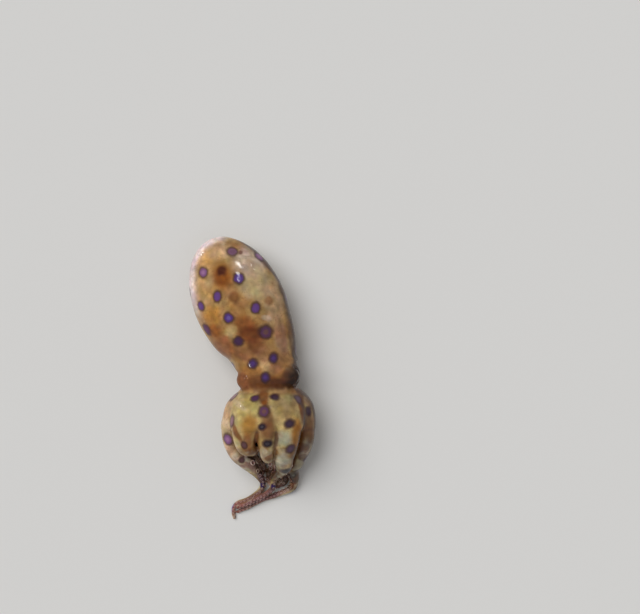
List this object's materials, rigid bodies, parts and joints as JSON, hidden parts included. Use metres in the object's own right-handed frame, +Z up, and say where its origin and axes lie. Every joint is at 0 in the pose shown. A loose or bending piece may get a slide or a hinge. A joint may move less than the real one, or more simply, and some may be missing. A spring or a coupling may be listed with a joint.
{
  "type": "blue-ringed octopus",
  "caption": "Still life-size model of a small blue-ringed octopus lying on its underside, arms gathered forward into a bud with loose ends trailing in a thin rope.",
  "frame": {"origin": "middle of the flat on which the mantle rests, at floor level", "axes": "+Z up off the floor, the animal's back up; +Y towards the tail end of the mantle, the arms towards -Y; +X towards the animal's left"},
  "size_m": [0.0245, 0.056, 0.0139],
  "materials": {
    "skin": "wet mottled skin, tan to brown with blue-violet rings",
    "pale_skin": "wet pale skin of the suckers and siphon",
    "eye": "glossy near-black eye"
  },
  "bodies": {
    "root": {"mantle": "skin", "head": "skin", "arm_crown": "skin", "arm_left_1_base": "skin", "arm_left_1_middle": "skin", "arm_left_1_tip": "skin", "arm_left_2_base": "skin", "arm_left_2_middle": "skin", "arm_left_2_tip": "skin", "arm_left_3_base": "skin", "arm_left_3_middle": "skin", "arm_left_3_tip": "skin", "arm_left_4_base": "skin", "arm_left_4_middle": "skin", "arm_left_4_tip": "skin", "arm_right_1_base": "skin", "arm_right_1_middle": "skin", "arm_right_1_tip": "skin", "arm_right_2_base": "skin", "arm_right_2_middle": "skin", "arm_right_2_tip": "skin", "arm_right_3_base": "skin", "arm_right_3_middle": "skin", "arm_right_3_tip": "skin", "arm_right_4_base": "skin", "arm_right_4_middle": "skin", "arm_right_4_tip": "skin", "siphon": "pale_skin", "eye_left": "eye", "eye_right": "eye"}
  },
  "joints": []
}
